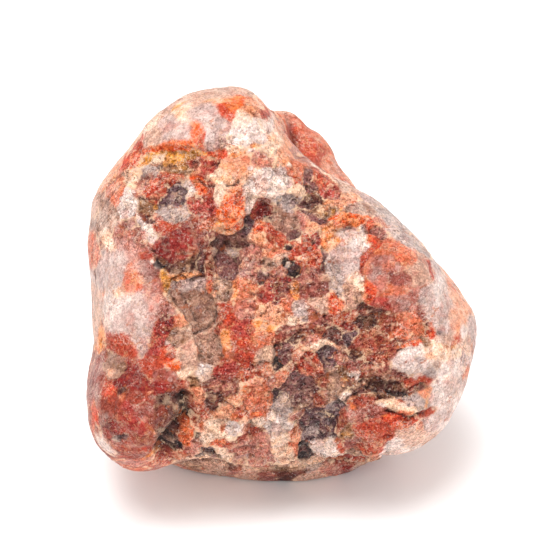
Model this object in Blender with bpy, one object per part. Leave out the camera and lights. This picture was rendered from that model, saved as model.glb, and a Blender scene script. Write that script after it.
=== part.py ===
"""Rough rock: a hand-sized cobble of coarse red granite, water-worn all round, with one broken face.

Run with: blender --background --python part.py

The rock is one solid. It is shaped in its own "face frame", in millimetres, where the broken face looks
along -Y: x runs across the face, y goes into the rock and z runs up the face. A grid of points on a cube is
blown outwards from the rock's core until each point lies on the surface of a field that holds the rock's
masses, flats, bulges and hollows. The finished body is then leaned back onto its flat underside.
"""

import math

import bmesh
import bpy
import numpy as np
from mathutils import Matrix, Vector, noise

MM = 0.001

# Driving dimensions, millimetres and degrees.
LEAN = 35.0  # how far the broken face leans back when the rock lies on its underside
FACE_DEPTH = 15.0  # from the plane of the rim forwards to the middle of the broken face
FACE_EDGE_DEPTH = 7.0  # the relief fades out over this depth, towards the rim
BACK_DEPTH = 24.0  # from the plane of the rim backwards to the rear of the main mass
FACE_SQUARENESS = 2.9  # 2 is an ellipsoid, and more is a flatter face with fuller shoulders
BACK_SQUARENESS = 2.3
BASE_DISTANCE = 21.2  # from the face frame's origin down to the flat that the rock lies on
CORE = (-1.0, 3.0, -1.0)  # every point of the surface can be seen from here

GRID = 30  # squares along each side of each face of the starting cube
REACH = 40.0  # the search for the surface starts this far from the core
SEARCH_STEPS = 100
HALVINGS = 18

# The rim of the broken face, where the front of the rock turns away, going round anticlockwise: (x, z).
RIM = [
    (19.6, -0.1),
    (16.8, 3.4),
    (13.2, 7.4),
    (9.4, 10.6),
    (6.4, 12.2),
    (3.8, 14.0),
    (1.4, 15.8),
    (-0.7, 18.3),
    (-3.8, 22.0),
    (-8.8, 22.6),
    (-15.2, 18.5),
    (-18.9, 14.1),
    (-21.3, 10.3),
    (-21.9, 5.5),
    (-21.2, -0.8),
    (-21.1, -6.6),
    (-21.6, -13.2),
    (-20.4, -18.3),
    (-16.6, -21.4),
    (-11.6, -20.1),
    (-5.5, -19.7),
    (2.0, -19.5),
    (8.0, -19.1),
    (12.4, -19.5),
    (17.1, -17.5),
    (20.3, -13.5),
    (21.8, -8.2),
    (21.9, -4.0),
]

# Masses that stand out behind the rim: name, centre (x, y, z), half-sizes (x, y, z), softness of the join.
LOBES = [
    ("shoulder behind the upper rim", (-1.4, 10.0, 13.0), (7.2, 8.0, 7.5), 1.2),
    ("shoulder behind the right rim", (3.4, 9.5, 8.2), (6.2, 8.0, 6.4), 1.6),
    ("foot behind the lower rim", (-0.6, 5.8, -12.9), (21.0, 7.5, 10.2), 1.0),
    ("haunch at the left", (-11.0, 10.0, -2.0), (10.0, 11.0, 13.0), 3.0),
]

# Flats that limit the back, where the rock once split: name, outward normal, distance from the origin.
FLATS = [
    ("rear", (0.15, 1.0, 0.1), 21.0),
    ("rear left", (-0.8, 0.75, 0.15), 20.5),
    ("rear right", (0.85, 0.7, -0.2), 20.0),
    ("crown", (-0.25, 0.6, 1.0), 21.0),
    ("low right", (0.8, 0.55, -0.75), 23.0),
    ("low left", (-0.75, 0.6, -0.7), 23.5),
]
FLAT_ROUNDING = 2.6

# Relief of the broken face: name, middle (x, z), half-sizes (along, across), turn in degrees, height.
RELIEF = [
    ("top knob", (-7.5, 18.0), (7.0, 3.6), 12.0, 1.6),
    ("step under the knob", (-11.5, 13.6), (5.0, 1.8), 0.0, -0.9),
    ("dark red block", (-11.8, 5.0), (2.4, 2.6), 0.0, 1.3),
    ("orange ridge", (-6.3, 9.6), (4.2, 1.3), 80.0, 1.2),
    ("smoky hollow", (-6.2, 3.6), (3.4, 2.2), 55.0, -2.0),
    ("hollow across the middle", (-0.8, 7.8), (3.4, 1.7), -15.0, -1.5),
    ("cream boss", (-1.2, 12.0), (3.2, 2.0), 10.0, 1.0),
    ("left quartz", (-17.4, -1.6), (6.0, 2.6), 80.0, 1.5),
    ("left quartz tongue", (-12.6, -6.0), (4.4, 1.5), 115.0, 1.2),
    ("olive hollow", (-9.0, -3.6), (4.6, 1.7), 112.0, -1.9),
    ("lower left lobe", (-16.0, -14.0), (5.6, 5.2), 0.0, 3.4),
    ("cleft beside the lobe", (-10.6, -15.6), (3.8, 1.6), 55.0, -1.7),
    ("belly", (-2.5, -8.0), (6.0, 5.0), 0.0, 1.3),
    ("low middle", (2.0, -15.5), (4.0, 3.0), 0.0, -1.0),
    ("grey channel", (7.0, 2.0), (5.0, 1.5), 100.0, -1.2),
    ("right boss", (13.6, 1.6), (4.4, 3.6), -55.0, 2.6),
    ("dark saddle", (9.5, -4.6), (4.0, 1.6), -8.0, -1.2),
    ("white knob", (15.5, -8.2), (3.0, 1.6), 5.0, 1.2),
    ("slot over the shelf", (11.4, -11.6), (4.2, 1.3), -6.0, -1.3),
    ("shelf", (12.0, -14.8), (5.2, 2.3), -8.0, 1.2),
]

# Unevenness worn into the whole skin: distance between its lumps, and its height.
LUMPS = [(11.0, 0.9), (4.6, 0.45)]
LUMPS_SEED = Vector((3.7, 11.2, 5.9))

STONE_COLOUR = (0.52, 0.20, 0.14, 1.0)
STONE_ROUGHNESS = 0.62


def rim_radius(angle):
    """Distance from the face frame's origin to the rim at an angle round it, through RIM's points."""
    points = np.array(RIM)
    angles = np.arctan2(points[:, 1], points[:, 0]) % math.tau
    radii = np.hypot(points[:, 0], points[:, 1])
    order = np.argsort(angles)
    angles, radii = angles[order], radii[order]
    angles = np.concatenate([angles[-2:] - math.tau, angles, angles[:3] + math.tau])
    radii = np.concatenate([radii[-2:], radii, radii[:3]])
    slopes = np.gradient(radii, angles)
    angle = angle % math.tau
    i = np.clip(np.searchsorted(angles, angle) - 1, 0, len(angles) - 2)
    span = angles[i + 1] - angles[i]
    t = (angle - angles[i]) / span
    return (
        (2 * t**3 - 3 * t**2 + 1) * radii[i]
        + (t**3 - 2 * t**2 + t) * span * slopes[i]
        + (3 * t**2 - 2 * t**3) * radii[i + 1]
        + (t**3 - t**2) * span * slopes[i + 1]
    )


def smooth_min(a, b, width):
    """The smaller of two fields, rounded where they cross."""
    h = np.clip(0.5 + 0.5 * (b - a) / width, 0.0, 1.0)
    return b + (a - b) * h - width * h * (1.0 - h)


def relief(x, z):
    """How far the broken face stands forward at (x, z), from the entries of RELIEF."""
    height = np.zeros_like(x)
    for _, (middle_x, middle_z), (along, across), turn, rise in RELIEF:
        c, s = math.cos(math.radians(turn)), math.sin(math.radians(turn))
        u = ((x - middle_x) * c + (z - middle_z) * s) / along
        v = ((z - middle_z) * c - (x - middle_x) * s) / across
        height += rise * np.exp(-((u * u + v * v) ** 1.3))
    return height


def main_mass(x, y, z):
    """Field of the main mass: a cushion whose rim is RIM."""
    radius = rim_radius(np.arctan2(z, x))
    depth = np.where(y < 0.0, FACE_DEPTH, BACK_DEPTH)
    power = np.where(y < 0.0, FACE_SQUARENESS, BACK_SQUARENESS)
    outward = (np.hypot(x, z) / radius) ** power + (np.abs(y) / depth) ** power
    return (outward ** (1.0 / power) - 1.0) * FACE_DEPTH


def field(p):
    """Roughly the distance from points p to the rock's surface, negative inside. Millimetres."""
    x, y, z = p[:, 0], p[:, 1], p[:, 2]
    value = main_mass(x, y, z)
    for _, centre, half_sizes, softness in LOBES:
        reach = np.linalg.norm((p - centre) / half_sizes, axis=1)
        value = smooth_min(value, (reach - 1.0) * min(half_sizes), softness)
    for _, normal, distance in FLATS:
        n = np.array(normal) / np.linalg.norm(normal)
        value = -smooth_min(-value, distance - p @ n, FLAT_ROUNDING)
    return value


def surface_radii(directions):
    """Distance from the core to the outermost crossing of the field along each direction."""
    core = np.array(CORE)
    outer = np.full(len(directions), REACH)
    step = REACH / SEARCH_STEPS
    open_air = np.ones(len(directions), bool)
    for _ in range(SEARCH_STEPS - 1):
        inside = field(core + directions * (outer - step)[:, None]) < 0.0
        open_air &= ~inside
        outer[open_air] -= step
    inner = outer - step
    for _ in range(HALVINGS):
        middle = (inner + outer) / 2
        inside = field(core + directions * middle[:, None]) < 0.0
        inner = np.where(inside, middle, inner)
        outer = np.where(inside, outer, middle)
    return (inner + outer) / 2


def lump_height(point):
    """Unevenness of the skin at a point, from smooth noise at each of LUMPS' scales."""
    return sum(height * noise.noise(point / size + LUMPS_SEED) for size, height in LUMPS)


def cube_directions(mesh):
    """Directions through the vertices of a gridded cube, evened out over the sphere."""
    directions = []
    for vertex in mesh.verts:
        bent = Vector([math.tan(c * math.pi / 4) for c in vertex.co])
        directions.append(bent.normalized())
    return np.array(directions)


def build_body():
    """The rock's mesh in the face frame, still round underneath. Millimetres."""
    bpy.ops.mesh.primitive_cube_add(size=2.0)
    rock = bpy.context.object
    rock.name = "rock"
    mesh = bmesh.new()
    mesh.from_mesh(rock.data)
    bmesh.ops.subdivide_edges(mesh, edges=mesh.edges[:], cuts=GRID - 1, use_grid_fill=True)
    directions = cube_directions(mesh)
    radii = surface_radii(directions)
    places = np.array(CORE) + directions * radii[:, None]
    heights = relief(places[:, 0], places[:, 2]) * np.clip(-places[:, 1] / FACE_EDGE_DEPTH, 0.0, 1.0)
    for vertex, place, direction, height in zip(mesh.verts, places, directions, heights):
        point = Vector(place)
        vertex.co = point + Vector(direction) * (float(height) + lump_height(point))
    return rock, mesh


def lay_down(mesh):
    """Leans the body back, cuts its flat underside, and puts the origin under the middle of its box."""
    bmesh.ops.transform(mesh, matrix=Matrix.Rotation(math.radians(-LEAN), 4, "X"), verts=mesh.verts[:])
    cut = bmesh.ops.bisect_plane(
        mesh,
        geom=mesh.verts[:] + mesh.edges[:] + mesh.faces[:],
        plane_co=(0.0, 0.0, -BASE_DISTANCE),
        plane_no=(0.0, 0.0, -1.0),
        clear_outer=True,
    )
    rim = [e for e in cut["geom_cut"] if isinstance(e, bmesh.types.BMEdge)]
    bmesh.ops.triangle_fill(mesh, edges=rim, use_beauty=True, normal=(0.0, 0.0, -1.0))
    bmesh.ops.triangulate(mesh, faces=mesh.faces[:])
    places = np.array([v.co for v in mesh.verts])
    middle = (places.min(axis=0) + places.max(axis=0)) / 2
    shift = Vector((-middle[0], -middle[1], BASE_DISTANCE))
    bmesh.ops.translate(mesh, vec=shift, verts=mesh.verts[:])
    bmesh.ops.scale(mesh, vec=(MM, MM, MM), verts=mesh.verts[:])
    bmesh.ops.recalc_face_normals(mesh, faces=mesh.faces[:])


def stone_material():
    """Plain brick-red stone."""
    material = bpy.data.materials.new("stone")
    material.use_nodes = True
    shader = material.node_tree.nodes["Principled BSDF"]
    shader.inputs["Base Color"].default_value = STONE_COLOUR
    shader.inputs["Roughness"].default_value = STONE_ROUGHNESS
    shader.inputs["Metallic"].default_value = 0.0
    return material


def main():
    for old in list(bpy.data.objects):
        bpy.data.objects.remove(old)
    collection = bpy.data.collections.new("rough_rock")
    bpy.context.scene.collection.children.link(collection)
    rock, mesh = build_body()
    lay_down(mesh)
    mesh.to_mesh(rock.data)
    mesh.free()
    rock.data.shade_smooth()
    rock.data.materials.append(stone_material())
    for home in list(rock.users_collection):
        home.objects.unlink(rock)
    collection.objects.link(rock)


main()
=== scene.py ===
"""The looks of a rough piece of coarse red granite: one rock, its crystals, its worn skin and its light.

The rock's surface is rebuilt from the CAD solid at crystal scale. Places on its broken face are given as an
observer square in front of that face sees them, in millimetres: x to the right and z up the face, from the
face's middle. The face leans back, so the observer looks down at it by the same angle.
"""

import math
from itertools import product

import bmesh
import bpy
import numpy as np
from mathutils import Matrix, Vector, noise


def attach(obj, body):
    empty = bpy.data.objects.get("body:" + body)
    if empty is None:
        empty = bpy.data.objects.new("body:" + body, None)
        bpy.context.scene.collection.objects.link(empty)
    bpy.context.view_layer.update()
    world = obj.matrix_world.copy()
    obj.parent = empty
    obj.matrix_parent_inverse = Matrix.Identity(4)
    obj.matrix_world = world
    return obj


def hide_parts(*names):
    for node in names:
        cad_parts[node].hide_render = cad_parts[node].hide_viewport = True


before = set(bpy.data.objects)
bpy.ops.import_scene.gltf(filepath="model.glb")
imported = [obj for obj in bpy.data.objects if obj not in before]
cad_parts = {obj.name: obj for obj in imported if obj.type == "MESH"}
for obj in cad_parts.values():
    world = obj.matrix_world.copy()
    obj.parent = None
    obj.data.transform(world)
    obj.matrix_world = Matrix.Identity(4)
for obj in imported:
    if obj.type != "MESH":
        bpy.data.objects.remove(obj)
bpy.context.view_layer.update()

MM = 0.001

# How the broken face sits in the rock's frame, and where it is looked at from.
LEAN = math.radians(35.0)
FACE_MIDDLE = Vector((-0.07, -0.86, 21.2))
EYE_DISTANCE = 450.0
VIEW_WIDTH = 64.45
AIM_ACROSS = -0.115
AIM_UP = 0.69

# A crystal sits on the nearest surface that the observer sees within this distance of its place.
SIGHT_RADIUS = 0.35
# Depths that put points out of sight behind all others, and points within the radius before all others.
OUT_OF_SIGHT = 99.0
IN_RADIUS = 100.0

# How finely the surface is rebuilt, in millimetres: everywhere, then twice as fine on the broken face.
SKIN_VOXEL = 0.41
FINE_FACING = 0.12
FINE_DEPTH = 14.0
FINE_MARGIN = 0.8

# Rounds of smoothing: the rebuilt surface, its finer part, its outward directions, and to find hollows.
SKIN_ROUNDS = 14
FINE_ROUNDS = 6
OUTWARD_ROUNDS = 12
HOLLOW_ROUNDS = 30

# How squarely a surface faces the observer (1 is square on): where the face begins, where the back does.
SIGHT_FACING = 0.05
SEEN_FACING = (0.02, 0.30)
BACK_FACING = (-0.15, -0.50)

# Minerals: colour (sRGB, 0 to 255), gloss, how proud it stands in millimetres, and what is grown into it.
MINERALS = {
    "white": ((216, 194, 186), 0.55, 0.10, ("lilac", "cream", "pink")),
    "cream": ((230, 190, 164), 0.30, 0.12, ("white", "amber", "peach")),
    "lilac": ((178, 146, 138), 0.60, 0.06, ("white", "pink", "ash")),
    "ash": ((164, 142, 136), 0.60, 0.00, ("lilac", "smoke", "beige")),
    "slate": ((92, 60, 64), 0.75, -0.15, ("smoke", "ash", "black")),
    "smoke": ((120, 70, 66), 0.75, -0.20, ("slate", "dun", "black")),
    "dun": ((150, 108, 90), 0.55, -0.08, ("beige", "smoke", "olive")),
    "beige": ((188, 142, 122), 0.40, 0.02, ("cream", "dun", "pink")),
    "peach": ((214, 140, 108), 0.25, 0.10, ("cream", "salmon", "amber")),
    "amber": ((220, 130, 72), 0.20, 0.06, ("cream", "orange", "yellow")),
    "yellow": ((214, 140, 54), 0.10, 0.00, ("olive", "amber", "brown")),
    "olive": ((130, 84, 56), 0.20, -0.06, ("dun", "brown", "yellow")),
    "pink": ((172, 102, 88), 0.30, 0.02, ("salmon", "lilac", "mauve")),
    "salmon": ((190, 96, 64), 0.25, 0.05, ("orange", "peach", "pink")),
    "orange": ((190, 58, 20), 0.20, 0.08, ("red", "amber", "salmon")),
    "flame": ((216, 82, 6), 0.15, 0.10, ("orange", "amber", "orange")),
    "red": ((164, 56, 30), 0.20, 0.04, ("orange", "crimson", "rust")),
    "crimson": ((158, 54, 44), 0.25, 0.04, ("red", "mauve", "garnet")),
    "garnet": ((122, 22, 14), 0.30, 0.02, ("crimson", "rust", "black")),
    "mauve": ((134, 66, 56), 0.30, 0.00, ("pink", "rust", "smoke")),
    "rust": ((138, 56, 38), 0.20, 0.00, ("red", "mauve", "brown")),
    "brown": ((76, 30, 20), 0.25, -0.08, ("rust", "smoke", "olive")),
    "black": ((36, 14, 14), 0.60, -0.15, ("smoke", "brown", "slate")),
}

# Crystals of the broken face and the rim round it: (x, z, half-length, half-width, turn in degrees).
# The turn is left out where it is 0, here and in the swells below.
CRYSTALS = {
    "white": [
        (-2.9, 17.3, 1.6, 1.3), (-4.5, 16.6, 0.9, 0.7), (-1.0, 12.1, 1.9, 1.1, 15), (-1.5, 10.7, 1.1, 0.5),
        (-10.4, 10.9, 0.9, 0.4, 65), (-17.7, 10.0, 1.7, 0.6, 80), (-14.85, 2.7, 0.4, 0.35),
        (8.9, 5.0, 1.2, 0.9, 20), (-19.3, -2.5, 1.4, 0.9, 60), (-8.9, -10.0, 0.7, 0.5, 80),
        (18.2, -0.6, 0.5, 1.9), (14.6, -8.0, 1.6, 0.9, 10), (18.6, -10.6, 0.7, 1.0, 20),
        (18.5, -12.9, 0.9, 1.2, 30), (-5.9, -16.5, 0.8, 0.5), (5.2, -18.3, 1.5, 0.7),
        (-0.4, -16.4, 0.9, 1.0), (7.5, -12.9, 0.35, 0.5), (-15.4, 6.5, 1.2, 0.4, -60),
        (13.2, -18.6, 1.4, 0.6, 10), (-19.9, -18.6, 1.2, 0.4, -50), (20.3, -9.3, 1.3, 1.2),
        (-3.6, 10.7, 0.6, 1.3, -20), (-1.7, 18.4, 1.1, 0.8, -45), (20.4, -13.4, 1.0, 1.7, -28),
        (-4.7, 17.9, 0.8, 0.7), (18.9, -16.0, 1.5, 0.9, 48), (15.2, -9.4, 1.6, 0.7),
        (14.9, -18.9, 1.5, 0.6, 22), (21.0, -5.0, 0.7, 0.4, -60),
    ],
    "cream": [
        (-4.3, 18.9, 0.8, 0.6), (-5.1, 15.8, 0.6, 0.5), (-6.9, 12.1, 1.1, 0.9, 30), (-7.4, 10.5, 0.5, 0.9),
        (1.8, 10.8, 0.8, 0.5), (1.9, 5.4, 0.2, 0.5), (8.7, 0.7, 0.8, 0.9), (-20.3, 5.8, 1.2, 0.4, -50),
        (17.9, -7.7, 1.7, 0.7, 5), (20.0, -7.6, 1.0, 0.8, 5), (-8.5, -15.9, 1.2, 0.6, 10),
        (-7.2, -16.9, 1.7, 0.6), (-6.7, -18.8, 1.0, 0.4, -15), (-10.9, -10.0, 0.7, 0.3, 20),
        (0.1, -18.0, 0.9, 0.9), (13.7, -14.1, 1.3, 0.3, -14), (-14.9, 19.0, 1.6, 0.6, 48),
        (-17.3, 12.2, 0.7, 0.8, 40), (-1.0, 16.6, 1.3, 1.1, -50), (-14.2, 14.3, 0.8, 0.4, 30),
        (-11.4, 19.6, 1.0, 0.7, 20), (5.9, -20.1, 0.9, 0.25, 10), (-3.2, -15.5, 0.9, 0.35, 10),
        # The thin cream crystal at x 4.8, z 13.3 is a painted highlight along the ridge before the back lobe.
        (3.7, -7.4, 1.8, 0.3, 15), (4.8, 13.3, 2.2, 0.22, -40), (-9.0, -19.9, 1.0, 0.25, 10),
        (1.4, -3.4, 0.5, 0.35, -20), (-18.9, -0.9, 0.6, 0.4, 30),
    ],
    "lilac": [
        (-9.4, 19.8, 1.5, 0.8, 20), (-7.7, 17.2, 0.8, 1.3, 10), (0.1, 13.2, 0.9, 0.7), (7.8, 5.9, 1.0, 0.5),
        (-16.2, -4.9, 1.3, 1.4, -20), (-16.0, -6.6, 0.6, 0.8), (16.8, -1.6, 0.8, 1.1, 10),
        (18.7, -3.1, 0.7, 2.0), (19.9, -11.8, 0.9, 1.1, 30), (17.6, 2.7, 1.2, 0.4, -50),
        (-10.4, 0.0, 1.0, 0.5), (-16.8, -2.4, 1.3, 1.4), (-19.4, 1.8, 1.6, 1.3, 20),
        (17.8, -16.0, 1.3, 1.0, 50), (19.3, -14.5, 0.8, 1.3, -30), (-6.9, 18.4, 0.8, 0.9),
        (7.8, 3.0, 1.2, 1.6, 20), (-12.4, 18.2, 1.8, 1.2, 20), (1.3, 8.4, 0.4, 0.3),
        (-10.9, -1.9, 1.2, 0.15, -55), (2.4, -2.3, 0.7, 0.55, 20), (21.3, -8.6, 0.7, 1.2, -5),
        (21.9, -5.4, 0.5, 1.4), (20.9, -11.4, 0.7, 1.0, -20), (-18.4, -4.2, 1.0, 0.8),
        (10.2, 9.9, 1.4, 0.5, -30),
    ],
    "ash": [
        (-11.1, 11.5, 0.6, 0.5), (-15.0, 13.2, 0.9, 0.6, 30), (12.3, 8.2, 2.0, 0.8, -38),
        (13.8, 6.3, 1.4, 0.7, -50), (16.5, 3.9, 1.1, 0.3, -42), (1.2, 9.6, 0.9, 0.7),
        (15.6, -8.6, 0.7, 0.6), (0.3, -14.2, 0.6, 1.2, 10), (17.3, -9.9, 0.8, 0.6),
        (-10.8, -19.4, 1.2, 0.25, 15), (-12.6, 8.4, 1.4, 0.8), (15.8, -13.4, 1.3, 0.55, 10),
        (3.4, -20.9, 1.2, 0.5), (6.7, 0.4, 0.8, 1.7, 5), (-7.4, 3.6, 0.35, 0.3, 20), (-5.3, 3.7, 0.3, 0.3),
        (0.7, 2.2, 0.25, 0.2), (-1.7, 1.2, 0.2, 0.2), (9.6, -20.9, 1.4, 0.6, 25), (-9.4, -2.6, 0.5, 0.5),
    ],
    "slate": [
        (-12.6, 10.2, 1.3, 1.4), (5.5, -9.1, 0.7, 1.3, 10), (7.9, -5.7, 1.0, 0.5),
        (-7.9, -18.7, 1.1, 0.35, -20), (18.4, -5.3, 0.5, 0.35), (6.2, -14.2, 1.5, 0.5, 38),
        (-3.9, 6.9, 0.4, 0.9, -10), (4.1, -16.1, 1.5, 1.2),
    ],
    "smoke": [
        (-15.1, 7.7, 0.6, 0.4, -40), (-6.9, 4.6, 0.9, 0.7, -20), (-4.8, 5.2, 0.8, 0.6, 20),
        (-8.9, 2.6, 0.4, 0.9), (1.5, 6.6, 0.6, 0.6), (3.7, 11.4, 0.6, 0.5), (3.6, 8.2, 1.2, 0.4, -30),
        (5.1, 3.2, 0.25, 0.8, 10), (2.3, -11.8, 1.8, 1.2, -35), (3.2, 12.6, 0.4, 0.8, 10),
        (0.7, -7.8, 0.8, 0.8), (3.0, 9.2, 0.8, 0.4), (-6.0, 2.7, 1.0, 0.8, 30),
        (-6.8, -19.7, 1.2, 0.45, -15), (-2.1, 0.8, 0.55, 0.6),
    ],
    "dun": [
        (-20.6, 8.4, 0.9, 2.0), (9.2, 8.9, 1.5, 0.6), (-19.4, -9.2, 0.6, 0.9), (-1.5, 2.8, 0.7, 0.6),
        (8.0, -18.9, 1.2, 0.4), (-11.4, -1.4, 0.8, 0.5, -50), (6.3, -12.2, 0.9, 0.7),
        (18.1, -9.0, 0.5, 0.3), (-6.6, -0.6, 0.8, 1.1), (-0.7, 8.2, 0.7, 0.6), (-9.6, -21.0, 0.9, 0.4),
        (-8.5, -8.4, 0.8, 0.5), (-9.1, -4.9, 1.0, 0.35, 35), (-10.4, -1.6, 0.9, 0.9),
        (-8.5, -2.2, 0.8, 1.1, 10), (-10.2, -3.0, 1.3, 1.1, 40), (0.5, 7.4, 1.4, 0.8, 10),
        (-11.5, -5.8, 0.8, 1.2, 15), (-8.6, -6.6, 1.0, 1.3, 10), (6.1, -10.3, 0.5, 0.8),
    ],
    "beige": [
        (-14.3, 17.4, 1.2, 0.8, 45), (-10.7, -7.8, 0.9, 1.5, 15), (7.6, -0.8, 0.8, 1.2, 10),
        (4.5, -1.9, 0.9, 0.8), (7.8, 11.3, 1.5, 0.4, -35), (15.3, -17.5, 1.6, 0.9, 35),
        (-0.3, 3.5, 0.6, 0.5), (-12.5, 20.8, 1.5, 0.5, 38), (-21.2, 9.3, 0.6, 1.3), (21.6, -6.8, 0.4, 1.3),
        (-6.0, 22.2, 2.2, 0.4), (-9.6, 21.3, 2.2, 0.4, 14), (19.1, -6.2, 1.0, 0.5),
        (15.7, 2.0, 1.0, 1.3, 20), (-1.9, -7.9, 1.0, 0.9), (3.6, -21.9, 1.6, 0.6, 5),
        (17.0, -17.6, 1.7, 0.7, 40), (-8.2, -20.8, 2.2, 0.8, -12), (-3.4, -21.4, 1.4, 0.9, -5),
        (-8.8, -4.9, 1.5, 0.15, 40), (2.6, -19.9, 2.2, 0.45), (-21.6, -3.6, 0.8, 1.8),
    ],
    "peach": [
        (-4.9, 13.5, 1.7, 1.1, 10), (7.3, 9.8, 1.3, 0.7), (3.5, 6.8, 0.8, 0.5), (-2.8, 5.6, 0.8, 0.6),
        (20.8, -1.4, 0.7, 1.9, 10), (-1.6, -3.5, 0.9, 1.1), (-6.1, -14.1, 1.2, 0.7, 20),
        (-0.2, -2.7, 0.8, 0.45), (-20.2, 12.2, 1.2, 0.6, 45), (20.6, -3.8, 0.8, 1.0),
        (-5.9, 20.5, 0.35, 0.3), (16.9, -12.2, 0.5, 0.4), (0.4, 15.3, 1.2, 0.9, -50),
        (-3.1, 20.6, 1.1, 0.9, -30), (0.6, 17.2, 1.3, 0.4, -60),
    ],
    "amber": [
        (-6.7, 21.5, 1.1, 0.3), (-4.8, 15.2, 0.7, 0.3, 30), (-7.0, 6.8, 0.6, 0.7), (5.8, 5.5, 0.9, 0.9),
        (-21.0, -6.0, 0.35, 1.2, -10), (1.7, -0.4, 0.4, 0.8, 10), (-2.1, -4.6, 0.9, 0.7),
        (-14.9, -19.7, 1.4, 0.2, -5), (-11.3, 1.5, 1.4, 0.22), (16.7, -13.3, 0.6, 0.3, 40),
        (-5.3, -0.7, 0.25, 0.9), (4.9, 8.9, 0.6, 0.35), (-3.1, 16.0, 0.7, 0.3), (8.9, 9.0, 0.5, 0.25),
        (-6.0, -6.6, 0.4, 1.1, 15),
    ],
    "yellow": [
        (-11.1, 15.1, 1.5, 0.35, 8), (-12.4, 14.5, 1.2, 0.5), (-15.2, 14.8, 0.7, 0.3, 20),
        (-13.5, 1.0, 0.35, 0.7, 15), (-9.2, 15.3, 0.7, 0.25), (19.6, -6.9, 0.9, 0.15),
        (-8.0, 14.8, 0.8, 0.25, -5), (-13.9, 15.4, 0.6, 0.2, 15), (-7.2, 7.1, 0.35, 0.35),
        (-8.5, 21.4, 1.2, 0.18, 8), (-11.6, 20.6, 1.0, 0.15, 38),
    ],
    "olive": [
        (-12.1, 13.7, 1.5, 0.5), (-15.5, 9.1, 0.9, 0.6, -40), (4.6, 8.7, 1.2, 0.5), (7.9, -16.6, 0.8, 0.7),
        (16.6, -6.7, 0.6, 0.3, -30), (7.3, -9.6, 0.6, 0.4), (-9.7, -10.9, 0.6, 0.5),
    ],
    "pink": [
        (-16.9, 5.3, 1.6, 1.3, -30), (-3.1, 3.8, 1.1, 0.9), (-3.3, 1.7, 1.0, 0.7), (2.6, 7.4, 0.7, 0.9),
        (-13.2, -2.8, 0.8, 0.4, -20), (-3.9, -2.8, 0.9, 0.8), (3.3, -6.3, 0.9, 0.6),
        (-0.9, -11.2, 0.6, 0.6), (-16.7, -20.2, 1.8, 0.5), (-4.9, -19.6, 0.9, 0.3, 10),
        (1.7, -15.0, 0.8, 0.35, 20), (2.0, 15.8, 0.9, 0.6, -45), (11.5, 7.5, 0.8, 0.3, -20),
        (-14.0, 7.8, 0.5, 0.5), (-16.6, 1.9, 0.6, 0.5), (13.8, -1.5, 1.6, 1.0),
        (-14.7, -1.8, 2.3, 0.6, 100), (-15.8, 11.9, 0.9, 0.8), (12.5, 2.5, 1.1, 0.7),
        (-17.5, 7.2, 0.8, 0.6), (-2.3, 14.5, 0.8, 0.8), (-2.0, 9.9, 0.6, 0.4), (8.9, -14.9, 1.2, 0.8),
        (11.3, 0.7, 0.9, 1.0), (-10.0, -18.2, 0.9, 0.6, 20), (-3.6, -18.2, 1.8, 1.0),
        (-5.4, -21.2, 1.2, 0.6), (5.6, -21.2, 1.6, 0.8, 10), (3.8, -2.6, 0.6, 0.5),
    ],
    "salmon": [
        (1.4, 14.5, 0.8, 0.5, -40), (-19.1, 11.0, 1.0, 1.1), (-3.8, 14.4, 0.6, 0.5), (-1.3, 4.2, 1.0, 0.9),
        (12.9, 4.2, 1.4, 0.8, -30), (14.5, 3.4, 0.9, 0.8), (-11.7, -4.2, 0.6, 0.7), (-4.5, -0.6, 0.9, 0.9),
        (0.8, -2.1, 0.8, 0.8), (-2.0, -6.0, 1.1, 0.6), (0.1, -10.6, 0.8, 0.7), (3.6, 17.5, 2.2, 0.7, -40),
        (-1.6, -9.5, 0.5, 0.7), (1.6, -17.6, 0.5, 0.8), (-9.4, -12.4, 0.8, 0.7), (-6.0, -8.1, 0.4, 0.7),
        (12.9, -0.5, 1.3, 0.6), (-17.4, -21.0, 1.4, 0.3, 5), (16.3, -16.6, 0.8, 0.5, 30),
        (-8.3, 7.4, 0.7, 0.6), (14.5, -4.6, 1.3, 0.8), (5.5, 14.1, 1.1, 0.6, -55), (1.6, 13.3, 0.9, 0.8),
        (21.5, -10.0, 0.25, 1.4, -10), (4.6, 16.2, 1.4, 0.7, -55), (-17.0, 0.8, 0.8, 1.3),
        (-21.5, 4.2, 0.5, 1.3), (-3.0, -12.8, 1.1, 1.2), (0.8, 18.8, 1.4, 1.0, 30),
    ],
    "orange": [
        (-6.8, 20.3, 0.9, 0.5, -60), (-6.0, 19.4, 0.5, 0.6), (-5.5, 10.2, 1.1, 0.8), (-5.2, 7.3, 0.7, 0.5),
        (1.6, 12.0, 0.7, 0.5), (10.3, 7.2, 0.8, 0.4, -15), (11.7, 4.6, 0.9, 0.35, 42),
        (10.3, -0.2, 0.45, 1.1), (6.3, -1.7, 0.8, 0.5, -50), (14.4, -6.8, 1.3, 0.25, 8),
        (20.0, -6.3, 0.5, 0.45), (-4.9, -14.3, 0.9, 0.7), (-3.2, -14.9, 0.8, 0.4), (8.2, -13.5, 0.35, 0.6),
        (-7.0, -17.7, 0.9, 0.25), (-21.6, -14.6, 0.3, 1.5), (13.7, -15.3, 1.9, 0.6), (8.5, 9.7, 0.35, 0.4),
        (-17.5, 14.4, 1.2, 0.35, 52), (-2.0, 6.6, 0.9, 0.6), (-8.4, -0.2, 0.35, 0.9),
        (-9.2, -16.0, 0.7, 0.5), (6.6, 14.0, 0.3, 0.8, 25), (20.3, 0.0, 0.5, 0.6), (-7.9, 14.9, 1.2, 0.45),
        (10.7, 5.5, 0.7, 0.6, -30), (2.9, 18.0, 1.6, 0.35, -42), (-7.0, -20.4, 0.7, 0.2, -10),
        (-3.9, -12.0, 0.6, 0.5, 20),
    ],
    "flame": [
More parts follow.
